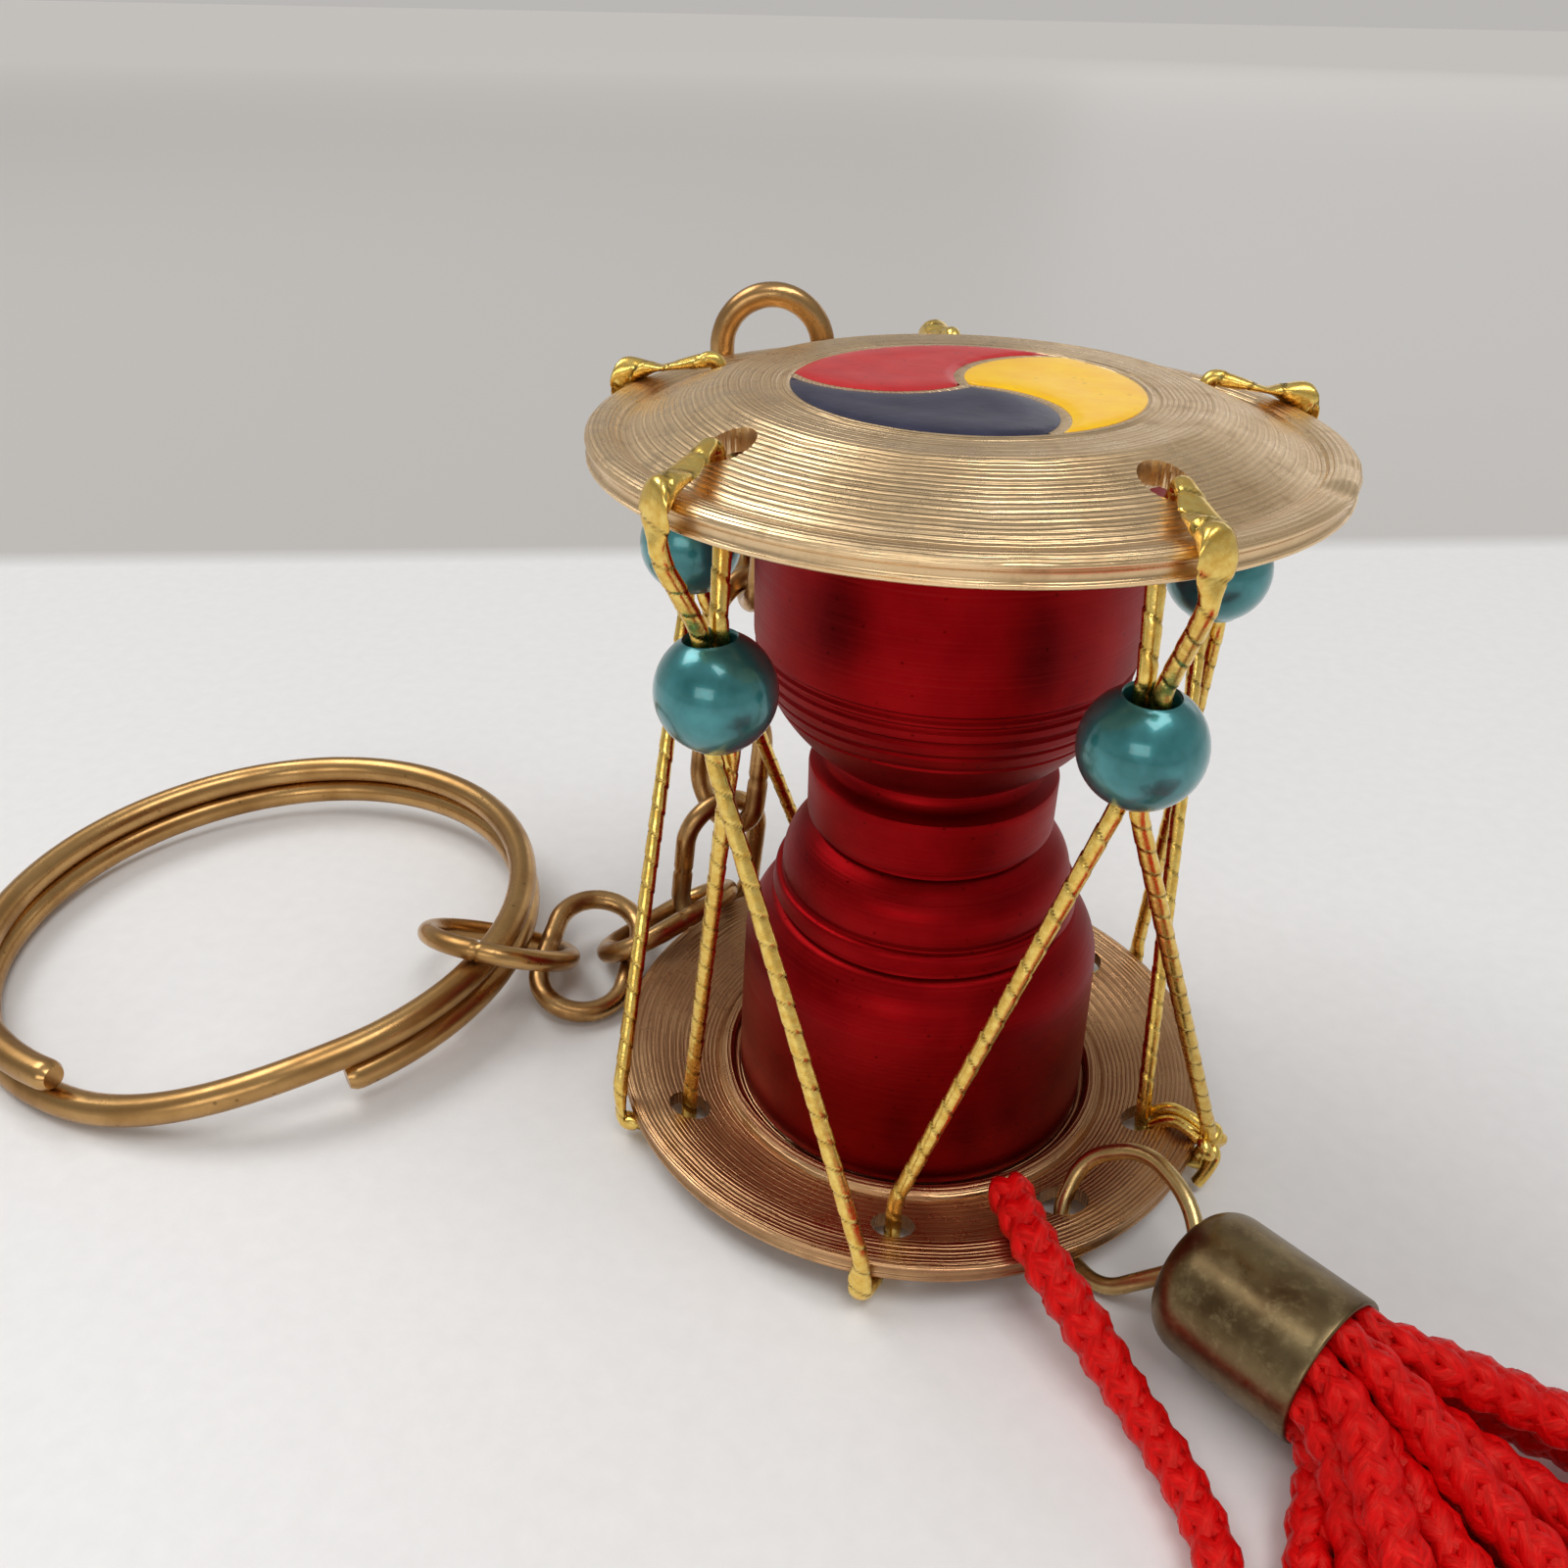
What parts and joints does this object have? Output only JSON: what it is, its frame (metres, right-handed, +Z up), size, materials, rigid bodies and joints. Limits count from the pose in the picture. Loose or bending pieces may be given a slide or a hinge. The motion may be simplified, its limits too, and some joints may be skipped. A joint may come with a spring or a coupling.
{
  "type": "hourglass drum key chain",
  "caption": "Laced hourglass drum trinket on a bronze link chain with a split key ring and a red cord tassel.",
  "frame": {"origin": "middle of the bottom head's flat face, on the surface the drum stands on", "axes": "+Z up along the drum's axis, +X to the right of the front view, +Y to the back; the chain hangs at the back left and the tassel lies at the front right"},
  "size_m": [0.1059, 0.0738, 0.0375],
  "materials": {
    "spun_brass": "spun and lacquered, fine turning rings",
    "enamel_red": "hard enamel, slightly domed",
    "enamel_blue": "hard enamel, slightly domed",
    "enamel_yellow": "hard enamel, slightly domed",
    "red_anodised": "satin red anodised aluminium with turning marks",
    "gold_lacing": "metallised gold cord",
    "pearl_bead": "pearl lustre glass",
    "bronze_chain": "antique bronze plating",
    "bronze_ring": "antique bronze plating",
    "brass_wire": "bright drawn wire",
    "antique_cap": "brushed antique brass",
    "red_cord": "knitted polyester cord"
  },
  "bodies": {
    "drum": {"drum_body": "red_anodised", "top_head": "spun_brass", "bottom_head": "spun_brass", "bottom_enamel_blue": "enamel_blue", "bottom_enamel_red": "enamel_red", "bottom_enamel_yellow": "enamel_yellow", "top_enamel_blue": "enamel_blue", "top_enamel_red": "enamel_red", "top_enamel_yellow": "enamel_yellow", "lacing_cord": "gold_lacing", "lacing_knot": "gold_lacing"},
    "bead_1": {"tuning_bead_1": "pearl_bead"},
    "bead_2": {"tuning_bead_2": "pearl_bead"},
    "bead_3": {"tuning_bead_3": "pearl_bead"},
    "bead_4": {"tuning_bead_4": "pearl_bead"},
    "bead_5": {"tuning_bead_5": "pearl_bead"},
    "link_1": {"chain_link_1": "bronze_chain"},
    "link_2": {"chain_link_2": "bronze_chain"},
    "link_3": {"chain_link_3": "bronze_chain"},
    "link_4": {"chain_link_4": "bronze_chain"},
    "link_5": {"chain_link_5": "bronze_chain"},
    "link_6": {"chain_link_6": "bronze_chain"},
    "link_7": {"chain_link_7": "bronze_chain"},
    "jump_ring_body": {"jump_ring": "bronze_ring"},
    "split_ring_body": {"split_ring": "bronze_ring"},
    "loop": {"tassel_loop": "brass_wire"},
    "tassel": {"tassel_cap": "antique_cap", "tassel_bundle": "red_cord", "tassel_strand_01": "red_cord", "tassel_strand_02": "red_cord", "tassel_strand_03": "red_cord", "tassel_strand_04": "red_cord", "tassel_strand_05": "red_cord", "tassel_strand_06": "red_cord", "tassel_strand_07": "red_cord", "tassel_strand_08": "red_cord", "tassel_strand_09": "red_cord", "tassel_strand_10": "red_cord", "tassel_strand_11": "red_cord", "loose_strand": "red_cord"}
  },
  "joints": [
    {"name": "bead_1_slide", "type": "slide", "parent": "drum", "child": "bead_1", "axis": [-0.0975, 0.0368, 0.9946], "range_m": [-0.006, 0.002], "deforming": ["lacing_cord"]},
    {"name": "bead_2_slide", "type": "slide", "parent": "drum", "child": "bead_2", "axis": [0.0064, -0.0654, 0.9978], "range_m": [-0.006, 0.002], "deforming": ["lacing_cord"]},
    {"name": "bead_3_slide", "type": "slide", "parent": "drum", "child": "bead_3", "axis": [-0.0043, 0.0964, 0.9953], "range_m": [-0.006, 0.002], "deforming": ["lacing_cord"]},
    {"name": "bead_4_slide", "type": "slide", "parent": "drum", "child": "bead_4", "axis": [-0.0845, 0.073, 0.9937], "range_m": [-0.006, 0.002], "deforming": ["lacing_cord"]},
    {"name": "bead_5_slide", "type": "slide", "parent": "drum", "child": "bead_5", "axis": [-0.0856, 0.0717, 0.9937], "range_m": [-0.006, 0.002], "deforming": ["lacing_cord"]},
    {"name": "chain_top_swing", "type": "hinge", "parent": "drum", "child": "link_1", "pos_m": [-0.00696, 0.01125, 0.03399], "axis": [0.9903, 0.1392, 0], "range_deg": [0, 6]},
    {"name": "link_2_swing", "type": "hinge", "parent": "link_1", "child": "link_2", "pos_m": [-0.00993, 0.01084, 0.02873], "axis": [0.9592, 0.1348, -0.2487], "range_deg": [0, 35]},
    {"name": "link_3_swing", "type": "hinge", "parent": "link_2", "child": "link_3", "pos_m": [-0.01029, 0.0103, 0.02173], "axis": [-0.322, 0.9206, -0.2211], "range_deg": [0, 30]},
    {"name": "link_4_swing", "type": "hinge", "parent": "link_3", "child": "link_4", "pos_m": [-0.01119, 0.01084, 0.01466], "axis": [0.6373, 0.7676, -0.0683], "range_deg": [0, 35]},
    {"name": "link_5_swing", "type": "hinge", "parent": "link_4", "child": "link_5", "pos_m": [-0.01191, 0.01081, 0.00766], "axis": [-0.7825, 0.6178, 0.0772], "range_deg": [0, 30]},
    {"name": "link_6_swing", "type": "hinge", "parent": "link_5", "child": "link_6", "pos_m": [-0.01337, 0.01013, 0.00096], "axis": [-0.6447, -0.5814, 0.4963], "range_deg": [0, 8]},
    {"name": "link_7_swing", "type": "hinge", "parent": "link_6", "child": "link_7", "pos_m": [-0.01704, 0.00431, 0.00212], "axis": [0.7129, -0.4224, 0.5598], "range_deg": [0, 30]},
    {"name": "jump_ring_swing", "type": "hinge", "parent": "link_7", "child": "jump_ring_body", "pos_m": [-0.02092, 0.00469, 0.00216], "axis": [0.0126, 0.9811, 0.1931], "range_deg": [-20, 30]},
    {"name": "split_ring_swing", "type": "hinge", "parent": "jump_ring_body", "child": "split_ring_body", "pos_m": [-0.02331, 0.00655, 0.00066], "axis": [0.9929, -0.0735, -0.0933], "range_deg": [0, 40]},
    {"name": "tassel_loop_swing", "type": "hinge", "parent": "drum", "child": "loop", "pos_m": [0.0074, -0.0098, 0.0014], "axis": [0, 0, 1], "range_deg": [-12, 12]},
    {"name": "tassel_swing", "type": "hinge", "parent": "loop", "child": "tassel", "pos_m": [0.01258, -0.0133, 0.00342], "axis": [0.2309, 0.6188, 0.7508], "range_deg": [0, 8]}
  ]
}
